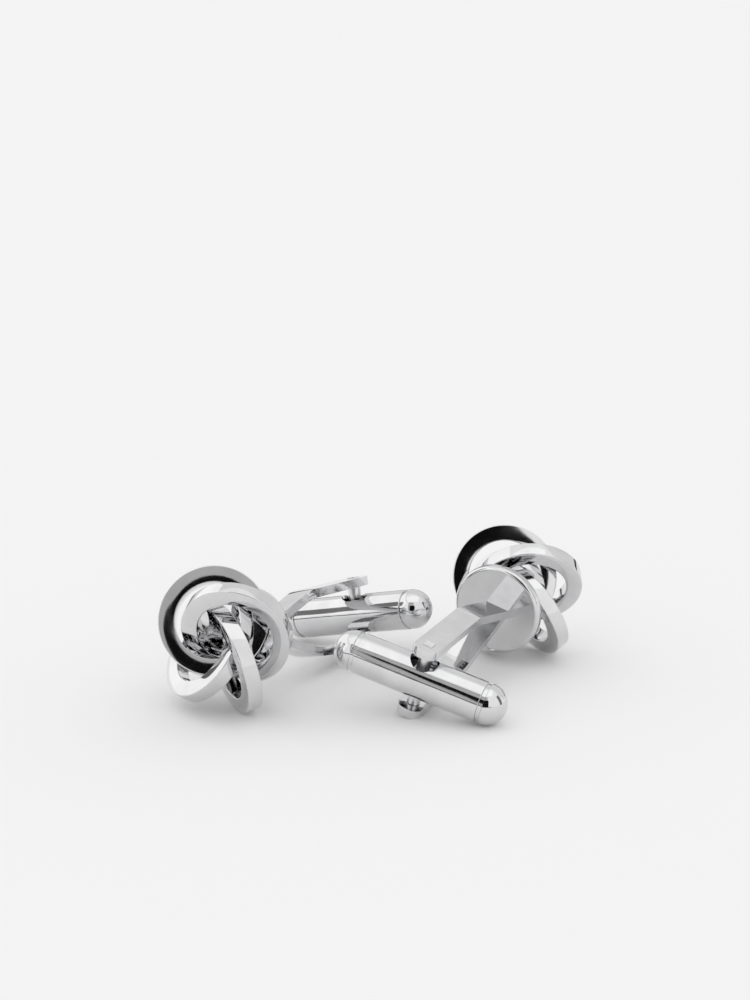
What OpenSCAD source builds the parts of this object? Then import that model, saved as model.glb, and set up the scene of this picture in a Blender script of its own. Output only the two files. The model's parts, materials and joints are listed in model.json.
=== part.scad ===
// A pair of knot cufflinks with swivelling bullet toggles, lying side by side and head to tail.
// Each knot is four flat rings linked in a pinwheel, standing on a round backplate.
// A forked shank carries a square-ended pivot pin, and the toggle turns on that pin.
// Each cufflink is drawn about its own hinge centre: x along the toggle, y along the
// hinge axis and z up the shank to the knot. It is then laid down on the floor.

/* [Knot] */
// Outer diameter of one knot ring
ring_outer_d = 10.6; // [8:0.1:13]
// Bore of one knot ring
ring_bore_d = 7.4; // [7.2:0.05:7.8]
// Thickness of one knot ring
ring_t = 1.55; // [1.2:0.05:1.6]
// Distance from the shank's axis to the centre of each ring
ring_offset = 2; // [1.95:0.01:2.1]
// Lean of each ring out of the backplate's plane, in degrees
ring_lean = 36.5; // [36:0.1:39]
// Radius on the edges of the rings
ring_edge_r = 0.1; // [0.05:0.01:0.3]

/* [Backplate] */
// Diameter of the backplate
plate_d = 9.2; // [8.6:0.1:11]
// Thickness of the backplate
plate_t = 1.2; // [1:0.1:2]
// Radius on the backplate's rim
plate_edge_r = 0.4; // [0.1:0.05:0.45]
// Gap between the rings and the backplate
ring_seat_gap = 0.02; // [0.01:0.01:0.1]

/* [Shank] */
// Distance from the backplate to the hinge axis
shank_l = 17.2; // [15:0.1:22]
// Width of the shank's strip
strip_w = 2.5; // [2.2:0.1:3.2]
// Thickness of the shank's strip
strip_t = 0.9; // [0.7:0.05:1.2]
// Distance from the hinge axis to the bend where the arms draw together
bend_l = 9; // [7.5:0.1:10.5]
// Radius of that bend, on the middle of the strip
bend_r = 5; // [3:0.25:8]
// Angle by which each arm closes in from the hinge to the bend, in degrees
arm_splay = 2.5; // [0:0.25:4]
// Length of arm past the hinge axis
arm_end_l = 1.5; // [1.2:0.1:2]
// Corner radius at the end of each arm
arm_corner_r = 1; // [0.3:0.05:1.1]

/* [Pivot pin] */
// Diameter of the pin's round necks
pin_d = 1.3; // [1.3:0.05:2.2]
// Side of the square block in the middle of the pin
block_w = 1.7; // [1.5:0.05:1.8]
// Length of the square block along the pin
block_l = 1.8; // [1.2:0.1:2]
// Side of the square tenons riveted through the arms
tenon_w = 0.9; // [0.7:0.05:1.3]
// Gap between a tenon and its hole
tenon_gap = 0.01; // [0.01:0.01:0.05]
// Gap between a neck's shoulder and the arm
shoulder_gap = 0.02; // [0.01:0.01:0.15]

/* [Toggle] */
// Diameter of the toggle's barrel
barrel_d = 4.05; // [4:0.05:4.6]
// Wall of the barrel
barrel_wall = 0.35; // [0.25:0.01:0.4]
// Length of the toggle from tip to tip
toggle_l = 17.6; // [15:0.1:18.5]
// Diameter of the holes where the pin enters the barrel
side_hole_d = 2.85; // [2.75:0.05:3.1]
// Gap between the barrel and each arm
arm_gap = 0.82; // [0.5:0.02:1.2]
// Width of the groove between the barrel and each end cap
groove_w = 0.45; // [0.1:0.05:0.6]
// Depth of that groove
groove_depth = 0.15; // [0.05:0.01:0.2]
// Length of each cap's plug inside the barrel
plug_l = 1.8; // [1.4:0.1:2.4]
// Gap between a plug and the barrel's bore
plug_gap = 0.01; // [0.01:0.01:0.05]
// Radius where the barrel's ends are broken
barrel_edge_r = 0.06; // [0.03:0.01:0.1]

/* [Leaf springs] */
// Thickness of a leaf spring
leaf_t = 0.22; // [0.15:0.01:0.25]
// Width of a leaf spring
leaf_w = 1.9; // [1.4:0.1:2.1]
// Gap between a leaf spring and the square block
leaf_gap = 0.02; // [0.01:0.01:0.05]
// Depth of the slots in the plugs that hold the leaf springs
slot_depth = 1.2; // [0.8:0.1:1.3]
// Gap round a leaf spring's end in its slot
slot_gap = 0.03; // [0.02:0.01:0.06]

/* [Stance of the pair] */
// Distance between the hinge centres, measured across the shanks
hinge_across = 15.8; // [14:0.1:30]
// Distance between the hinge centres, measured along the shanks
hinge_along = 14.2; // [13:0.1:30]
// Heading of the left cufflink, in degrees turned from facing the front
left_heading = -3.8; // [-10:0.1:0]
// Heading of the right cufflink, in degrees turned from facing the front
right_heading = 183.8; // [180:0.1:190]
// Roll of the left cufflink about its shank, in degrees
left_roll = 13.7; // [6:0.1:20]
// Roll of the right cufflink about its shank, in degrees
right_roll = 17.7; // [6:0.1:20]
// Turn of the left knot on its backplate, in degrees
left_knot_turn = 22; // [0:1:90]
// Turn of the right knot on its backplate, in degrees
right_knot_turn = 33; // [0:1:90]
// Turn of the left toggle away from square to its shank, in degrees
left_toggle_turn = 2.3; // [-10:0.1:10]
// Turn of the right toggle away from square to its shank, in degrees
right_toggle_turn = 7; // [-10:0.1:10]

/* [Hidden] */

// Facets of round faces, an overrun for every cut, and the two cufflinks' numbers
$fn = 96;
overrun = 0.5;
LEFT = 0;
RIGHT = 1;
heading = [left_heading, right_heading];
roll = [left_roll, right_roll];
knot_turn = [left_knot_turn, right_knot_turn];
toggle_turn = [left_toggle_turn, right_toggle_turn];
ring_count = 4;

// Knot: half its depth along the shank, and the heights of the plate and the knot's centre
ring_r = ring_outer_d / 2;
knot_half_depth = ring_r * sin(ring_lean) + ring_t / 2 * cos(ring_lean);
plate_front_z = shank_l + plate_t;
knot_z = plate_front_z + ring_seat_gap + knot_half_depth;

// Shank: the arms' inner faces, the middle of the strip at the hinge and at the bend
arm_inner_y = barrel_d / 2 + arm_gap;
arm_mid_y = arm_inner_y + strip_t / 2;
arm_outer_y = arm_inner_y + strip_t;
bend_y = arm_mid_y - bend_l * tan(arm_splay);
leg_angle = atan2(bend_y, shank_l - bend_l);
bend_angle = leg_angle - arm_splay;
bend_tangent = bend_r * tan(bend_angle / 2);

// Toggle: the bore, the straight length of barrel and the leaf springs' place
barrel_r = barrel_d / 2;
bore_r = barrel_r - barrel_wall;
dome_x = toggle_l / 2 - barrel_r;
barrel_half_l = dome_x - groove_w;
most_turn = max(abs(left_toggle_turn), abs(right_toggle_turn));
leaf_inner_z = block_w / 2 * (cos(most_turn) + sin(most_turn)) + leaf_gap;
leaf_half_l = barrel_half_l - plug_l + slot_depth - slot_gap;

// Directions turned about the x and z axes
function turn_x(v, a) = [v.x, v.y * cos(a) - v.z * sin(a), v.y * sin(a) + v.z * cos(a)];
function turn_z(v, a) = [v.x * cos(a) - v.y * sin(a), v.x * sin(a) + v.y * cos(a), v.z];

// A direction of the floor's frame seen from a cufflink, and the other way round
function seen_from(side, lean, v) = turn_z(turn_x(turn_z(v, -heading[side]), lean - 90), -roll[side]);
function laid_down(side, lean, v) = turn_z(turn_x(turn_z(v, roll[side]), 90 - lean), heading[side]);

// How far each group of pieces reaches from the hinge centre in a direction of the cufflink
function ring_axis(a) = turn_z([0, -sin(ring_lean), cos(ring_lean)], a);
function ring_reach(a, v) = ring_offset * turn_z([1, 0, 0], a) * v
    + ring_r * sqrt(max(0, 1 - pow(ring_axis(a) * v, 2))) + ring_t / 2 * abs(ring_axis(a) * v);
function knot_reach(side, v) = knot_z * v.z
    + max([for (k = [0:ring_count - 1]) ring_reach(knot_turn[side] + 360 * k / ring_count, v)]);
function toggle_reach(side, v) = barrel_r
    + dome_x * abs(v.x * cos(toggle_turn[side]) - v.z * sin(toggle_turn[side]));
function arm_reach(v) = arm_outer_y * abs(v.y) + (strip_w / 2 - arm_corner_r) * abs(v.x)
    - (arm_end_l - arm_corner_r) * v.z + arm_corner_r * norm([v.x, v.z]);
function rear_reach(side, v) = max(toggle_reach(side, v), arm_reach(v));
function reach(side, v) = max(knot_reach(side, v), rear_reach(side, v));

// The shank leans so that the knot and the rear end both touch the floor
least_lean = -20;
most_lean = 40;
lean_halvings = 24;
function down(side, lean) = seen_from(side, lean, [0, 0, -1]);
function sinks(side, lean) = knot_reach(side, down(side, lean)) - rear_reach(side, down(side, lean));
function find_lean(side, low, high, left_over) = left_over == 0 ? (low + high) / 2
    : sinks(side, (low + high) / 2) > 0 ? find_lean(side, (low + high) / 2, high, left_over - 1)
    : find_lean(side, low, (low + high) / 2, left_over - 1);
lean = [for (side = [LEFT, RIGHT]) find_lean(side, least_lean, most_lean, lean_halvings)];
hinge_height = [for (side = [LEFT, RIGHT]) rear_reach(side, down(side, lean[side]))];

// The pair's outline on the floor, and the hinge centres once it is centred on the origin
spread = [[-hinge_across / 2, hinge_along / 2, 0], [hinge_across / 2, -hinge_along / 2, 0]];
function far_side(u) = max([for (side = [LEFT, RIGHT])
    spread[side] * u + reach(side, seen_from(side, lean[side], u))]);
pair_mid = [far_side([1, 0, 0]) - far_side([-1, 0, 0]), far_side([0, 1, 0]) - far_side([0, -1, 0]), 0] / 2;
hinge_at = [for (side = [LEFT, RIGHT]) spread[side] - pair_mid + [0, 0, hinge_height[side]]];

// Places that a fitting or a joint is measured from
seat_mark = [plate_d / 2 - plate_edge_r - strip_w / 2, 0, shank_l];
function place(side, v) = hinge_at[side] + laid_down(side, lean[side], v);
for (side = [LEFT, RIGHT]) {
    echo(side = side, lean = lean[side], hinge = hinge_at[side],
        axis = laid_down(side, lean[side], [0, 1, 0]), shank = laid_down(side, lean[side], [0, 0, 1]),
        across = laid_down(side, lean[side], [1, 0, 0]),
        seat = place(side, seat_mark), knot = place(side, [0, 0, knot_z]));
}

// Lays one cufflink down in its place
module laid(side) {
    translate(hinge_at[side])
        rotate([0, 0, heading[side]])
        rotate([90 - lean[side], 0, 0])
        rotate([0, 0, roll[side]])
        children();
}

// Turns a toggle's own pieces about the hinge axis
module swung(side) {
    rotate([0, toggle_turn[side], 0]) children();
}

// A rectangle with round corners, its left edge on x = 0 and centred on y = 0
module round_rectangle(w, h, r) {
    translate([r, -h / 2]) square([w - 2 * r, h]);
    translate([0, r - h / 2]) square([w, h - 2 * r]);
    for (x = [r, w - r], y = [-h / 2 + r, h / 2 - r]) translate([x, y]) circle(r);
}

// One flat ring of the knot, linked through both its neighbours
module knot_ring(side, k) {
    color("gainsboro")
        laid(side)
        translate([0, 0, knot_z])
        rotate([0, 0, knot_turn[side] + 360 * k / ring_count])
        translate([ring_offset, 0, 0])
        rotate([ring_lean, 0, 0])
        rotate_extrude()
        translate([ring_bore_d / 2, 0])
        round_rectangle((ring_outer_d - ring_bore_d) / 2, ring_t, ring_edge_r);
}

// Round plate behind the knot, with a rounded rim
module backplate(side) {
    color("gainsboro")
        laid(side)
        translate([0, 0, shank_l + plate_t / 2])
        rotate_extrude() {
            square([plate_d / 2 - plate_edge_r, plate_t / 2]);
            translate([0, -plate_t / 2]) square([plate_d / 2 - plate_edge_r, plate_t / 2]);
            translate([0, plate_edge_r - plate_t / 2]) square([plate_d / 2, plate_t - 2 * plate_edge_r]);
            for (y = [-1, 1]) translate([plate_d / 2 - plate_edge_r, y * (plate_t / 2 - plate_edge_r)])
                circle(plate_edge_r);
        }
}

// A straight length of strip, seen from its edge, with a tongue that runs on into the bend
module straight_strip(l) {
    translate([-strip_t / 2, 0]) square([strip_t, l]);
    translate([-strip_t / 4, 0]) square([strip_t / 2, l + strip_t / 4]);
}

// Side view of one arm, its bend and its leg, with the hinge at the origin and y up the shank
module fork_half_outline() {
    arm_l = bend_l / cos(arm_splay) - bend_tangent;
    leg_l = norm([bend_y, shank_l - bend_l]) - bend_tangent;
    translate([arm_mid_y, 0])
        rotate(arm_splay)
        translate([0, -arm_end_l])
        straight_strip(arm_end_l + arm_l);
    translate([bend_y, bend_l]) {
        rotate(arm_splay)
            translate([-bend_r, -bend_tangent])
            intersection() {
                difference() {
                    circle(bend_r + strip_t / 2);
                    circle(bend_r - strip_t / 2);
                }
                polygon([[0, 0], [2 * bend_r, 0], 2 * bend_r * [cos(bend_angle), sin(bend_angle)]]);
            }
        rotate(leg_angle)
            translate([0, bend_tangent + leg_l + overrun])
            mirror([0, 1])
            straight_strip(leg_l + overrun);
    }
}

// Both halves of the strip, cut level where they meet the backplate
module fork_outline() {
    intersection() {
        union() {
            fork_half_outline();
            mirror([1, 0]) fork_half_outline();
        }
        translate([-2 * arm_outer_y, -2 * arm_end_l]) square([4 * arm_outer_y, shank_l + 2 * arm_end_l]);
    }
}

// What is taken off one corner at the end of an arm
module arm_corner_cut() {
    translate([strip_w / 2 - arm_corner_r, arm_inner_y - overrun, arm_corner_r - arm_end_l])
        rotate([-90, 0, 0])
        difference() {
            cube([arm_corner_r + overrun, arm_corner_r + overrun, strip_t + 2 * overrun]);
            translate([0, 0, -overrun]) cylinder(r = arm_corner_r, h = strip_t + 4 * overrun);
        }
}

// Forked shank of bent strip whose two legs meet on the backplate
module shank_fork(side) {
    hole_w = tenon_w + 2 * tenon_gap;
    color("silver")
        laid(side)
        difference() {
            rotate([90, 0, 90])
                translate([0, 0, -strip_w / 2])
                linear_extrude(strip_w)
                fork_outline();
            for (m = [0, 1], n = [0, 1]) mirror([m, 0, 0]) mirror([0, n, 0]) arm_corner_cut();
            translate([-hole_w / 2, -2 * arm_outer_y, -hole_w / 2]) cube([hole_w, 4 * arm_outer_y, hole_w]);
        }
}

// Pin with a square block for the leaf springs, round necks and square tenons
module pivot_pin(side) {
    neck_end = arm_inner_y - pin_d / 2 * tan(arm_splay) - shoulder_gap;
    color("silver")
        laid(side) {
            translate([-block_w / 2, -block_l / 2, -block_w / 2]) cube([block_w, block_l, block_w]);
            translate([0, neck_end, 0]) rotate([90, 0, 0]) cylinder(d = pin_d, h = 2 * neck_end);
            translate([-tenon_w / 2, -arm_outer_y, -tenon_w / 2]) cube([tenon_w, 2 * arm_outer_y, tenon_w]);
        }
}

// Tube of the toggle with a hole on each side for the pin
module toggle_barrel(side) {
    color("gainsboro")
        laid(side)
        swung(side)
        difference() {
            rotate([0, 90, 0])
                rotate_extrude()
                translate([bore_r, 0])
                round_rectangle(barrel_wall, 2 * barrel_half_l, barrel_edge_r);
            translate([0, barrel_d, 0]) rotate([90, 0, 0]) cylinder(d = side_hole_d, h = 2 * barrel_d);
        }
}

// Domed end cap on the side that s names, with a neck, a plug and two slots for the springs
module toggle_cap(side, s) {
    plug_x = barrel_half_l - plug_l;
    color("gainsboro")
        laid(side)
        swung(side)
        mirror([s < 0 ? 1 : 0, 0, 0])
        difference() {
            union() {
                intersection() {
                    translate([dome_x, 0, 0]) sphere(r = barrel_r);
                    translate([dome_x, -barrel_d, -barrel_d]) cube([barrel_d, 2 * barrel_d, 2 * barrel_d]);
                }
                rotate([0, 90, 0]) translate([0, 0, plug_x])
                    cylinder(r = bore_r - plug_gap, h = dome_x - plug_x);
                rotate([0, 90, 0]) translate([0, 0, barrel_half_l + plug_gap])
                    cylinder(r = barrel_r - groove_depth, h = groove_w);
            }
            for (z = [leaf_inner_z, -leaf_inner_z - leaf_t])
                translate([plug_x - overrun, -leaf_w / 2 - slot_gap, z - slot_gap])
                    cube([slot_depth + overrun, leaf_w + 2 * slot_gap, leaf_t + 2 * slot_gap]);
        }
}

// Flat leaf spring along the barrel, on the side of the pin that s names
module leaf_spring(side, s) {
    color("lightsteelblue")
        laid(side)
        swung(side)
        mirror([0, 0, s < 0 ? 1 : 0])
        translate([-leaf_half_l, -leaf_w / 2, leaf_inner_z])
        cube([2 * leaf_half_l, leaf_w, leaf_t]);
}

knot_ring(LEFT, 0);  // left_knot_ring_1
knot_ring(LEFT, 1);  // left_knot_ring_2
knot_ring(LEFT, 2);  // left_knot_ring_3
knot_ring(LEFT, 3);  // left_knot_ring_4
backplate(LEFT);  // left_backplate
shank_fork(LEFT);  // left_shank_fork
pivot_pin(LEFT);  // left_pivot_pin
toggle_barrel(LEFT);  // left_toggle_barrel
toggle_cap(LEFT, 1);  // left_toggle_cap_outer
toggle_cap(LEFT, -1);  // left_toggle_cap_inner
leaf_spring(LEFT, 1);  // left_leaf_spring_front
leaf_spring(LEFT, -1);  // left_leaf_spring_back
knot_ring(RIGHT, 0);  // right_knot_ring_1
knot_ring(RIGHT, 1);  // right_knot_ring_2
knot_ring(RIGHT, 2);  // right_knot_ring_3
knot_ring(RIGHT, 3);  // right_knot_ring_4
backplate(RIGHT);  // right_backplate
shank_fork(RIGHT);  // right_shank_fork
pivot_pin(RIGHT);  // right_pivot_pin
toggle_barrel(RIGHT);  // right_toggle_barrel
toggle_cap(RIGHT, 1);  // right_toggle_cap_outer
toggle_cap(RIGHT, -1);  // right_toggle_cap_inner
leaf_spring(RIGHT, 1);  // right_leaf_spring_front
leaf_spring(RIGHT, -1);  // right_leaf_spring_back
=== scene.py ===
# A pair of knot cufflinks with swivelling bullet toggles, dressed as polished plated metal
import json
import math

import bmesh
import bpy
from mathutils import Matrix, Vector


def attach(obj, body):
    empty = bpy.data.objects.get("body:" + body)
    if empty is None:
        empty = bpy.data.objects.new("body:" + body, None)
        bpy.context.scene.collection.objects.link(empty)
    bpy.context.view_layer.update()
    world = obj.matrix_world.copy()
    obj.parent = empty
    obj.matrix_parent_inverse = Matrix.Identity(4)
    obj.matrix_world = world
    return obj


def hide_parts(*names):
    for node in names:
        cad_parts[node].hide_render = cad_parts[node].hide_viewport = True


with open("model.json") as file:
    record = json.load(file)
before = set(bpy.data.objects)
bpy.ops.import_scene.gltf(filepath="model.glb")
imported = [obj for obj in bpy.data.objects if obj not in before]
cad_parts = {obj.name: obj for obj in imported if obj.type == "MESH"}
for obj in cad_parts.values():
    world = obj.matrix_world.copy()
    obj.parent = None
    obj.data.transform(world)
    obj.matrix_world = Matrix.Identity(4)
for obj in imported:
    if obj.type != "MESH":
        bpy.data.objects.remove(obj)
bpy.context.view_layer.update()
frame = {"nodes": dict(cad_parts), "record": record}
record = frame["record"]
mm = 0.001                   # lengths are in millimetres and angles in degrees, unless a note says otherwise
sides = ("left", "right")
print("frame loaded")


# Each cufflink's own frame: x along the toggle, y along the hinge, z up the shank to the knot
stance = {
    "left": {"knotTurn": 22, "toggleTurn": 2.3},
    "right": {"knotTurn": 33, "toggleTurn": 7},
}


def namedEntry(entries, name):
    return next(entry for entry in entries if entry["name"] == name)


def cufflinkPlace(side):
    joint = namedEntry(record["behaviour"]["joints"], side + "_toggle_hinge")
    passage = namedEntry(record["mounts"], side + "_buttonhole_passage")
    hingeAxis = Vector(joint["axis"]).normalized()
    shankAxis = -Vector(passage["axis"]).normalized()
    across = hingeAxis.cross(shankAxis).normalized()
    place = Matrix((across, hingeAxis, shankAxis)).transposed().to_4x4()
    place.translation = Vector(joint["pos_m"])
    return place


def togglePlace(side):
    return cufflinkPlace(side) @ Matrix.Rotation(math.radians(stance[side]["toggleTurn"]), 4, "Y")


# Materials
polish = {
    "lightTint": (0.76, 0.76, 0.765, 1),
    "darkTint": (0.67, 0.67, 0.68, 1),
    "smoothest": 0.04,
    "dullest": 0.09,
    "hazeSize": 0.35,        # patches per mm
    "waveSize": 0.22,        # slow waves left by the polishing wheel, per mm
    "waveHeight": 0.05,
    "scratchSize": 9,        # fine polishing marks per mm
    "scratchHeight": 0.0008,
}
hazeSpan = (0.3, 0.7)        # the part of the noise between the darkest and the lightest haze
fineDetail = 4               # octaves of noise in haze and scratches
turnedFinish = {
    "lightTint": (0.88, 0.88, 0.88, 1),
    "darkTint": (0.8, 0.8, 0.81, 1),
    "smoothest": 0.3,
    "dullest": 0.4,
    "hazeSize": 0.8,
    "waveSize": 0.4,
    "waveHeight": 0.01,
    "scratchSize": 12,
    "scratchHeight": 0.003,
}
springFinish = {
    "lightTint": (0.62, 0.64, 0.66, 1),
    "darkTint": (0.5, 0.52, 0.55, 1),
    "smoothest": 0.22,
    "dullest": 0.38,
    "hazeSize": 0.8,
    "waveSize": 0.4,
    "waveHeight": 0.01,
    "scratchSize": 12,
    "scratchHeight": 0.004,
}


def metalMaterial(name, look, seed):
    material = bpy.data.materials.new(name)
    material.use_nodes = True
    nodes, links = material.node_tree.nodes, material.node_tree.links
    shader = nodes["Principled BSDF"]
    shader.inputs["Metallic"].default_value = 1
    place = nodes.new("ShaderNodeTexCoord")
    inMm = nodes.new("ShaderNodeMapping")
    inMm.inputs["Scale"].default_value = (1 / mm, 1 / mm, 1 / mm)
    inMm.inputs["Location"].default_value = (seed, 2 * seed, 3 * seed)
    links.new(place.outputs["Object"], inMm.inputs["Vector"])
    haze = nodes.new("ShaderNodeTexNoise")
    haze.inputs["Scale"].default_value = look["hazeSize"]
    haze.inputs["Detail"].default_value = fineDetail
    links.new(inMm.outputs["Vector"], haze.inputs["Vector"])
    tint = nodes.new("ShaderNodeValToRGB")
    tint.color_ramp.elements[0].position = hazeSpan[0]
    tint.color_ramp.elements[0].color = look["darkTint"]
    tint.color_ramp.elements[1].position = hazeSpan[1]
    tint.color_ramp.elements[1].color = look["lightTint"]
    links.new(haze.outputs["Fac"], tint.inputs["Fac"])
    links.new(tint.outputs["Color"], shader.inputs["Base Color"])
    dullness = nodes.new("ShaderNodeMapRange")
    dullness.inputs["From Min"].default_value = hazeSpan[0]
    dullness.inputs["From Max"].default_value = hazeSpan[1]
    dullness.inputs["To Min"].default_value = look["smoothest"]
    dullness.inputs["To Max"].default_value = look["dullest"]
    links.new(haze.outputs["Fac"], dullness.inputs["Value"])
    links.new(dullness.outputs["Result"], shader.inputs["Roughness"])
    lastRelief = None
    for kind in ("wave", "scratch"):
        marks = nodes.new("ShaderNodeTexNoise")
        marks.inputs["Scale"].default_value = look[kind + "Size"]
        marks.inputs["Detail"].default_value = 0 if kind == "wave" else fineDetail
        links.new(inMm.outputs["Vector"], marks.inputs["Vector"])
        relief = nodes.new("ShaderNodeBump")
        relief.inputs["Strength"].default_value = 1
        relief.inputs["Distance"].default_value = look[kind + "Height"] * mm
        links.new(marks.outputs["Fac"], relief.inputs["Height"])
        if lastRelief:
            links.new(lastRelief.outputs["Normal"], relief.inputs["Normal"])
        lastRelief = relief
    links.new(lastRelief.outputs["Normal"], shader.inputs["Normal"])
    return material


ringPlate = metalMaterial("polishedRingPlate", polish, 0)
shankPlate = metalMaterial("polishedShankPlate", polish, 3)
bulletPlate = metalMaterial("polishedBulletPlate", polish, 7)
turnedPin = metalMaterial("turnedPin", turnedFinish, 9)
springSteel = metalMaterial("springSteel", springFinish, 11)
print("materials made")


# Shared ways of finishing a piece
sliver = 0.001               # points closer than this become one
bevelAngle = math.radians(35)
sharpAngle = math.radians(40)
quarterTurn = math.pi / 2
cornerSteps = 5              # on the rounded corners of a spun section
bevelSteps = 3


def roundEdges(piece, width):
    bevel = piece.modifiers.new("edges", "BEVEL")
    bevel.width = width * mm
    bevel.segments = bevelSteps
    bevel.limit_method = "ANGLE"
    bevel.angle_limit = bevelAngle
    bevel.harden_normals = False
    weld = piece.modifiers.new("weld", "WELD")
    weld.merge_threshold = sliver * mm
    evenNormals(piece)


def evenNormals(piece):
    normals = piece.modifiers.new("normals", "WEIGHTED_NORMAL")
    normals.mode = "FACE_AREA"
    normals.keep_sharp = True


def sharpenEdges(piece):
    piece.data.shade_smooth()
    piece.data.set_sharp_from_angle(angle=sharpAngle)
    evenNormals(piece)


def linkedObject(bm, name):
    mesh = bpy.data.meshes.new(name)
    bm.to_mesh(mesh)
    bm.free()
    made = bpy.data.objects.new(name, mesh)
    bpy.context.scene.collection.objects.link(made)
    return made


def placedObject(bm, name, place):
    # drawn in millimetres about its own centre, kept in metres at its place
    bmesh.ops.scale(bm, vec=(mm, mm, mm), verts=bm.verts)
    bmesh.ops.transform(bm, matrix=place, verts=bm.verts)
    bmesh.ops.recalc_face_normals(bm, faces=bm.faces)
    return linkedObject(bm, name)


def finishPiece(bm, name, place, body, material):
    piece = placedObject(bm, name, place)
    piece.data.shade_smooth()
    piece.data.materials.append(material)
    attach(piece, body)
    return piece


def dropSlivers(mesh):
    bm = bmesh.new()
    bm.from_mesh(mesh)
    bmesh.ops.remove_doubles(bm, verts=bm.verts, dist=sliver * mm)
    bmesh.ops.dissolve_degenerate(bm, edges=bm.edges, dist=sliver * mm)
    bm.to_mesh(mesh)
    bm.free()


def cutWith(piece, tool, place, operation="DIFFERENCE"):
    # the tool is drawn like the piece, in millimetres; UNION joins it on instead
    cutter = placedObject(tool, "cutter", place)
    cut = piece.modifiers.new("cut", "BOOLEAN")
    cut.operation = operation
    cut.solver = "EXACT"
    cut.object = cutter
    bpy.context.view_layer.update()
    seen = piece.evaluated_get(bpy.context.evaluated_depsgraph_get())
    cutMesh = bpy.data.meshes.new_from_object(seen)
    dropSlivers(cutMesh)
    piece.modifiers.clear()
    oldMesh = piece.data
    piece.data = cutMesh
    bpy.data.meshes.remove(oldMesh)
    bpy.data.objects.remove(cutter)


def everythingIn(bm):
    return bm.verts[:] + bm.edges[:] + bm.faces[:]


def only(parts, kind):
    return [part for part in parts if isinstance(part, kind)]


def addBox(bm, low, high):
    made = bmesh.ops.create_cube(bm, size=1)
    size = [b - a for a, b in zip(low, high)]
    middle = [(a + b) / 2 for a, b in zip(low, high)]
    bmesh.ops.scale(bm, vec=size, verts=made["verts"])
    bmesh.ops.translate(bm, vec=middle, verts=made["verts"])


def addRod(bm, radius, depth, steps):
    # lies along y
    bmesh.ops.create_cone(bm, cap_ends=True, radius1=radius, radius2=radius, depth=depth, segments=steps)
    bmesh.ops.rotate(bm, cent=(0, 0, 0), matrix=Matrix.Rotation(quarterTurn, 3, "X"), verts=bm.verts)


def spinRing(bm, inner, outer, half, radius, steps, thinning=0, crown=0):
    # a section in the xz plane with rounded corners, spun round z
    # its rim may be thinner than its bore and its faces crowned
    middle, rim = (inner + outer) / 2, half - thinning
    crest = (half + rim) / 2 + crown
    section = ((inner, 0, -half), (outer, 0, -rim), (outer, 0, rim), (inner, 0, half))
    corners = [bm.verts.new(point) for point in section]
    crests = [bm.verts.new(point) for point in ((middle, 0, -crest), (middle, 0, crest))]
    bm.faces.new((corners[0], crests[0], corners[1], corners[2], crests[1], corners[3]))
    bmesh.ops.bevel(bm, geom=corners, offset=radius, segments=cornerSteps, profile=0.5,
                    affect="VERTICES", material=-1)
    edges = bm.edges[:]
    bmesh.ops.delete(bm, geom=bm.faces[:], context="FACES_ONLY")
    bmesh.ops.spin(bm, geom=edges, cent=(0, 0, 0), axis=(0, 0, 1), dvec=(0, 0, 0), angle=2 * math.pi,
                   steps=steps, use_merge=True, use_duplicate=False)
    bmesh.ops.remove_doubles(bm, verts=bm.verts, dist=sliver)


# Knot rings
ring = {
    "count": 4,
    "outerRadius": 5.3,
    "boreRadius": 3.7,
    "thickness": 1.55,
    "offset": 2.0,           # from the shank's axis to the ring's centre
    "lean": 36.5,
    "edgeRadius": 0.09,
    "rimThinning": 0.035,    # what polishing takes off each face at the rim
    "crown": 0.006,
    "steps": 224,
}
plate = {
    "radius": 4.6,
    "thickness": 1.2,
    "edgeRadius": 0.4,
    "shankLength": 17.2,
    "seatGap": 0.02,
    "steps": 224,
    "edgeSteps": 8,
}


def knotCentre():
    halfDepth = (ring["outerRadius"] * math.sin(math.radians(ring["lean"]))
                 + ring["thickness"] / 2 * math.cos(math.radians(ring["lean"])))
    return plate["shankLength"] + plate["thickness"] + plate["seatGap"] + halfDepth


def knotRing(side, number):
    bm = bmesh.new()
    spinRing(bm, ring["boreRadius"], ring["outerRadius"], ring["thickness"] / 2, ring["edgeRadius"],
             ring["steps"], ring["rimThinning"], ring["crown"])
    turn = stance[side]["knotTurn"] + 360 / ring["count"] * (number - 1)
    place = (cufflinkPlace(side) @ Matrix.Translation((0, 0, knotCentre() * mm))
             @ Matrix.Rotation(math.radians(turn), 4, "Z") @ Matrix.Translation((ring["offset"] * mm, 0, 0))
             @ Matrix.Rotation(math.radians(ring["lean"]), 4, "X"))
    piece = finishPiece(bm, f"{side}Ring{number}", place, "fixed_parts", ringPlate)
    evenNormals(piece)
    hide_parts(f"{side}_knot_ring_{number}")


for side in sides:
    for number in range(1, ring["count"] + 1):
        knotRing(side, number)
print("knot rings made")


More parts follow.
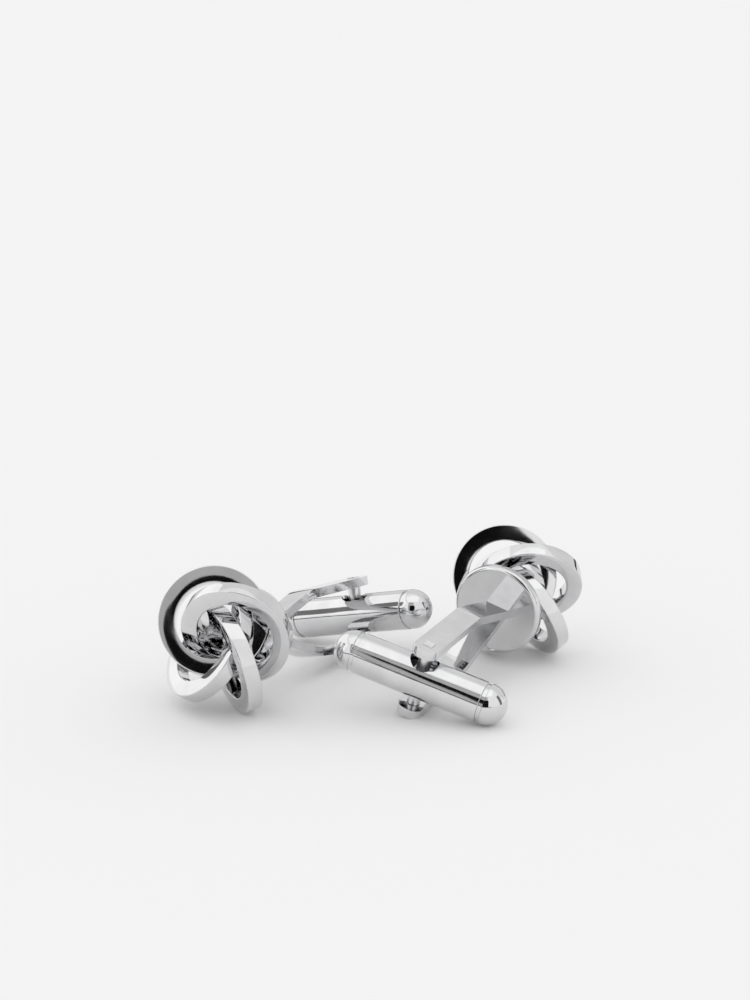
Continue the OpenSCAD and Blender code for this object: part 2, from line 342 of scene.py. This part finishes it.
def backplate(side):
    bm = bmesh.new()
    radius, half = plate["radius"], plate["thickness"] / 2
    disc = bmesh.ops.create_circle(bm, cap_ends=True, radius=radius, segments=plate["steps"])
    bmesh.ops.translate(bm, vec=(0, 0, -half), verts=disc["verts"])
    grown = bmesh.ops.extrude_face_region(bm, geom=bm.faces[:])
    bmesh.ops.translate(bm, vec=(0, 0, 2 * half), verts=only(grown["geom"], bmesh.types.BMVert))
    bmesh.ops.recalc_face_normals(bm, faces=bm.faces)
    rims = [edge for edge in bm.edges if edge.is_manifold and edge.calc_face_angle() > bevelAngle]
    bmesh.ops.bevel(bm, geom=rims, offset=plate["edgeRadius"], segments=plate["edgeSteps"], profile=0.5,
                    affect="EDGES", material=-1)
    place = cufflinkPlace(side) @ Matrix.Translation((0, 0, (plate["shankLength"] + half) * mm))
    piece = finishPiece(bm, side + "Backplate", place, "fixed_parts", shankPlate)
    evenNormals(piece)
    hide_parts(side + "_backplate")


for side in sides:
    backplate(side)
print("backplates made")


# Forked shank of bent strip
fork = {
    "width": 2.5,
    "thickness": 0.9,
    "armInner": 2.845,
    "bendHeight": 9,
    "bendRadius": 5,
    "splay": 2.5,
    "endLength": 1.5,
    "cornerRadius": 1.0,
    "holeWidth": 0.92,
    "edgeRadius": 0.14,
    "bendSteps": 20,
    "cornerSteps": 10,
}


def crossesStrip(edge):
    return abs(edge.verts[0].co.y - edge.verts[1].co.y) > fork["thickness"] / 2


def halfFork(bm):
    # one arm, its bend and its leg: the strip's end face is extruded, spun and extruded again
    thick, wide = fork["thickness"], fork["width"]
    armMiddle = fork["armInner"] + thick / 2
    bendY = armMiddle - fork["bendHeight"] * math.tan(math.radians(fork["splay"]))
    legAngle = math.degrees(math.atan2(bendY, plate["shankLength"] - fork["bendHeight"]))
    bendAngle = legAngle - fork["splay"]
    tangent = fork["bendRadius"] * math.tan(math.radians(bendAngle / 2))
    armLength = fork["bendHeight"] / math.cos(math.radians(fork["splay"])) - tangent
    legLength = math.hypot(bendY, plate["shankLength"] - fork["bendHeight"]) - tangent + thick
    addBox(bm, (-wide / 2, -thick / 2, -fork["endLength"]), (wide / 2, thick / 2, armLength))
    bm.normal_update()
    endEdges = [edge for edge in bm.edges
                if crossesStrip(edge) and all(vert.co.z < 0 for vert in edge.verts)]
    bmesh.ops.bevel(bm, geom=endEdges, offset=fork["cornerRadius"], segments=fork["cornerSteps"],
                    profile=0.5, affect="EDGES", material=-1)
    tip = max(bm.faces, key=lambda face: face.calc_center_median().z)
    bend = math.radians(bendAngle)
    spun = bmesh.ops.spin(bm, geom=[tip] + tip.edges[:] + tip.verts[:],
                          cent=(0, -fork["bendRadius"], armLength), axis=(1, 0, 0), dvec=(0, 0, 0),
                          angle=bend, steps=fork["bendSteps"], use_merge=False, use_duplicate=False)
    last = only(spun["geom_last"], bmesh.types.BMFace)
    onward = Vector((0, -math.sin(bend), math.cos(bend))) * legLength
    grown = bmesh.ops.extrude_face_region(bm, geom=last)
    bmesh.ops.translate(bm, vec=onward, verts=only(grown["geom"], bmesh.types.BMVert))
    inside = [face for face in last + [tip] if face.is_valid]
    bmesh.ops.delete(bm, geom=inside, context="FACES")
    splay = Matrix.Rotation(math.radians(fork["splay"]), 3, "X")
    bmesh.ops.rotate(bm, cent=(0, 0, 0), matrix=splay, verts=bm.verts)
    bmesh.ops.translate(bm, vec=(0, armMiddle, 0), verts=bm.verts)


def shankFork(side):
    bm = bmesh.new()
    halfFork(bm)
    cut = bmesh.ops.bisect_plane(bm, geom=everythingIn(bm), plane_co=(0, 0, plate["shankLength"]),
                                 plane_no=(0, 0, 1), clear_outer=True)
    bmesh.ops.contextual_create(bm, geom=only(cut["geom_cut"], bmesh.types.BMEdge))
    bmesh.ops.bisect_plane(bm, geom=everythingIn(bm), plane_co=(0, 0, 0), plane_no=(0, -1, 0),
                           clear_outer=True)
    copied = bmesh.ops.duplicate(bm, geom=everythingIn(bm))
    bmesh.ops.scale(bm, vec=(1, -1, 1), verts=only(copied["geom"], bmesh.types.BMVert))
    bmesh.ops.remove_doubles(bm, verts=bm.verts, dist=sliver)
    piece = finishPiece(bm, side + "ShankFork", cufflinkPlace(side), "fixed_parts", shankPlate)
    hole, reach = fork["holeWidth"] / 2, fork["armInner"] + 2 * fork["thickness"]
    drill = bmesh.new()
    addBox(drill, (-hole, -reach, -hole), (hole, reach, hole))
    cutWith(piece, drill, cufflinkPlace(side))
    roundEdges(piece, fork["edgeRadius"])
    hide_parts(side + "_shank_fork")


for side in sides:
    shankFork(side)
print("forked shanks made")


# Pivot pin: square block in the middle, round necks, square tenons through the arms
pin = {
    "neckRadius": 0.65,
    "neckEnd": 2.79,
    "blockWidth": 1.7,
    "blockLength": 1.8,
    "tenonWidth": 0.9,
    "tenonEnd": 3.82,        # peened, so that it stands a little proud of the arm
    "edgeRadius": 0.04,
    "steps": 96,
}


def pivotPin(side):
    # the round neck and the square tenons run right through the block, and all three become one body
    half, halfLength, tenon = pin["blockWidth"] / 2, pin["blockLength"] / 2, pin["tenonWidth"] / 2
    bm = bmesh.new()
    addBox(bm, (-half, -halfLength, -half), (half, halfLength, half))
    piece = finishPiece(bm, side + "PivotPin", cufflinkPlace(side), "fixed_parts", turnedPin)
    neck = bmesh.new()
    addRod(neck, pin["neckRadius"], 2 * pin["neckEnd"], pin["steps"])
    cutWith(piece, neck, cufflinkPlace(side), "UNION")
    tenons = bmesh.new()
    addBox(tenons, (-tenon, -pin["tenonEnd"], -tenon), (tenon, pin["tenonEnd"], tenon))
    cutWith(piece, tenons, cufflinkPlace(side), "UNION")
    roundEdges(piece, pin["edgeRadius"])
    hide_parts(side + "_pivot_pin")


for side in sides:
    pivotPin(side)
print("pivot pins made")


# Toggle
bullet = {
    "radius": 2.025,
    "wall": 0.35,
    "length": 17.6,
    "grooveWidth": 0.45,
    "grooveDepth": 0.15,
    "sideHoleRadius": 1.425,
    "plugLength": 1.8,
    "plugGap": 0.01,
    "endRadius": 0.06,
    "slotDepth": 1.2,
    "slotGap": 0.03,
    "leafWidth": 1.9,
    "leafHeight": (0.967, 1.187),
    "steps": 256,
    "holeSteps": 160,
    "domeSteps": 96,
}
domeStart = bullet["length"] / 2 - bullet["radius"]
barrelHalf = domeStart - bullet["grooveWidth"]
alongX = Matrix.Rotation(quarterTurn, 4, "Y")


def toggleBarrel(side):
    bm = bmesh.new()
    inner = bullet["radius"] - bullet["wall"]
    spinRing(bm, inner, bullet["radius"], barrelHalf, bullet["endRadius"], bullet["steps"])
    place = togglePlace(side)
    piece = finishPiece(bm, side + "ToggleBarrel", place @ alongX, side + "_toggle", bulletPlate)
    drill = bmesh.new()
    addRod(drill, bullet["sideHoleRadius"], 4 * bullet["radius"], bullet["holeSteps"])
    cutWith(piece, drill, place)
    sharpenEdges(piece)
    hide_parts(side + "_toggle_barrel")


def extrudeRim(bm, rim, scale, shift):
    grown = bmesh.ops.extrude_edge_only(bm, edges=rim)
    verts = only(grown["geom"], bmesh.types.BMVert)
    bmesh.ops.scale(bm, vec=(scale, scale, 1), verts=verts)
    bmesh.ops.translate(bm, vec=(0, 0, shift), verts=verts)
    edges = only(grown["geom"], bmesh.types.BMEdge)
    return [edge for edge in edges if all(vert in verts for vert in edge.verts)]


def toggleCap(side, which, toward):
    # a half ball, with its rim drawn in for the groove and again for the plug
    bm = bmesh.new()
    radius = bullet["radius"]
    bmesh.ops.create_uvsphere(bm, u_segments=bullet["steps"] // 2, v_segments=bullet["domeSteps"],
                              radius=radius)
    bmesh.ops.bisect_plane(bm, geom=everythingIn(bm), plane_co=(0, 0, 0), plane_no=(0, 0, -1),
                           clear_outer=True)
    rim = [edge for edge in bm.edges if edge.is_boundary]
    neck = radius - bullet["grooveDepth"]
    plug = radius - bullet["wall"] - bullet["plugGap"]
    edge = bullet["endRadius"]
    rim = extrudeRim(bm, rim, (radius - edge / 2) / radius, -edge / 2)
    rim = extrudeRim(bm, rim, neck / (radius - edge / 2), 0)
    rim = extrudeRim(bm, rim, 1, -bullet["grooveWidth"] + edge / 2 + bullet["plugGap"])
    rim = extrudeRim(bm, rim, plug / neck, 0)
    rim = extrudeRim(bm, rim, 1, -bullet["plugLength"])
    bmesh.ops.contextual_create(bm, geom=rim)
    bmesh.ops.translate(bm, vec=(0, 0, domeStart), verts=bm.verts)
    place = togglePlace(side) @ Matrix.Rotation(toward * quarterTurn, 4, "Y")
    piece = finishPiece(bm, f"{side}ToggleCap{which.title()}", place, side + "_toggle", bulletPlate)
    slots = bmesh.new()
    gap, deep = bullet["slotGap"], bullet["slotDepth"]
    low, high = bullet["leafHeight"][0] - gap, bullet["leafHeight"][1] + gap
    wide = bullet["leafWidth"] / 2 + gap
    plugEnd = barrelHalf - bullet["plugLength"]
    for up in (-1, 1):
        bottom, top = sorted((up * low, up * high))
        addBox(slots, (bottom, -wide, plugEnd - deep), (top, wide, plugEnd + deep))
    cutWith(piece, slots, place)
    sharpenEdges(piece)
    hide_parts(f"{side}_toggle_cap_{which}")


for side in sides:
    toggleBarrel(side)
    toggleCap(side, "outer", 1)
    toggleCap(side, "inner", -1)
    for face in ("front", "back"):
        spring = frame["nodes"][f"{side}_leaf_spring_{face}"]
        for slot in spring.material_slots:
            slot.material = springSteel
print("toggles made")


# Floor, light and the dark and white cards that polished metal mirrors
studio = {
    "floorColor": (0.9, 0.9, 0.9, 1),
    "floorSize": 6,          # metres
    "worldColor": (1, 1, 1, 1),
    "worldStrength": 1,
    "cardDistance": 0.6,     # metres; later cards hang a little nearer, in front of the earlier ones
    "cardStep": 0.03,
}
# direction round the object, height, width and height of the card, all in degrees, and its grey
cards = {
    "farWall": (15, 36, 110, 60, 0.82),
    "sideSoftbox": (104, 33, 84, 44, 1.2),
    "topSoftbox": (215, 80, 56, 40, 1.2),
    "roomFrame": (197, 28, 29, 52, 0.1),
    "dimRoom": (197, 28, 26, 48.5, 0.5),
    "darkCamera": (206.5, 18, 30, 38.5, 0.006),
    "farTableEdge": (30, 3, 90, 7, 0.03),
    "nearTableEdge": (180, 2, 110, 4, 0.03),
    "leftFlag": (128, 14, 16, 50, 0.2),
    "rightFlag": (292, 14, 16, 50, 0.2),
}


def studioFloor():
    bm = bmesh.new()
    bmesh.ops.create_grid(bm, x_segments=8, y_segments=8, size=studio["floorSize"] / 2)
    floor = linkedObject(bm, "studioFloor")
    material = bpy.data.materials.new("paleFloor")
    material.use_nodes = True
    shader = material.node_tree.nodes["Principled BSDF"]
    shader.inputs["Base Color"].default_value = studio["floorColor"]
    shader.inputs["Roughness"].default_value = 1
    shader.inputs["Specular IOR Level"].default_value = 0
    floor.data.materials.append(material)


def studioCard(name, card, distance):
    azimuth, height, wide, tall, grey = card
    bm = bmesh.new()
    bmesh.ops.create_grid(bm, x_segments=1, y_segments=1, size=0.5)
    bmesh.ops.scale(bm, vec=(2 * distance * math.tan(math.radians(wide / 2)),
                             2 * distance * math.tan(math.radians(tall / 2)), 1), verts=bm.verts)
    aim = (Matrix.Rotation(math.radians(azimuth), 4, "Z")
           @ Matrix.Rotation(math.radians(90 + height), 4, "X")
           @ Matrix.Translation((0, 0, -distance)))
    bmesh.ops.transform(bm, matrix=aim, verts=bm.verts)
    hangForMirrors(bm, name, grey)


def hangForMirrors(bm, name, grey):
    # seen only as a reflection: no camera ray, no light and no shadow
    piece = linkedObject(bm, name)
    material = bpy.data.materials.new(name)
    material.use_nodes = True
    nodes, links = material.node_tree.nodes, material.node_tree.links
    nodes.clear()
    glow = nodes.new("ShaderNodeEmission")
    glow.inputs["Color"].default_value = (grey, grey, grey, 1)
    out = nodes.new("ShaderNodeOutputMaterial")
    links.new(glow.outputs["Emission"], out.inputs["Surface"])
    piece.data.materials.append(material)
    piece.visible_camera = False
    piece.visible_diffuse = False
    piece.visible_shadow = False


studioFloor()
for place, (name, card) in enumerate(cards.items()):
    studioCard(name, card, studio["cardDistance"] - place * studio["cardStep"])
world = bpy.data.worlds.new("studioWorld")
bpy.context.scene.world = world
world.use_nodes = True
world.node_tree.nodes["Background"].inputs["Color"].default_value = studio["worldColor"]
world.node_tree.nodes["Background"].inputs["Strength"].default_value = studio["worldStrength"]
bpy.context.scene.view_settings.view_transform = "Standard"
print("studio set")


# Camera at the photograph's angle
view = {
    "place": (108.96, -180.88, 72.34),   # mm
    "azimuth": 31.36,
    "elevation": 15.608,
    "focalPixels": 2243.4,
    "frameWidth": 750,
    "opticalCentreDrop": 53,             # pixels below the middle of the frame
    "sensorWidth": 36,
}
cameraData = bpy.data.cameras.new("photoCamera")
cameraData.sensor_fit = "HORIZONTAL"
cameraData.sensor_width = view["sensorWidth"]
cameraData.lens = view["focalPixels"] / view["frameWidth"] * view["sensorWidth"]
cameraData.shift_y = view["opticalCentreDrop"] / view["frameWidth"]
cameraData.clip_start = 0.005
cameraData.clip_end = 20
camera = bpy.data.objects.new("photoCamera", cameraData)
bpy.context.scene.collection.objects.link(camera)
camera.location = Vector(view["place"]) * mm
camera.rotation_euler = (math.radians(90 - view["elevation"]), 0, math.radians(view["azimuth"]))
bpy.context.scene.camera = camera
print("camera set")
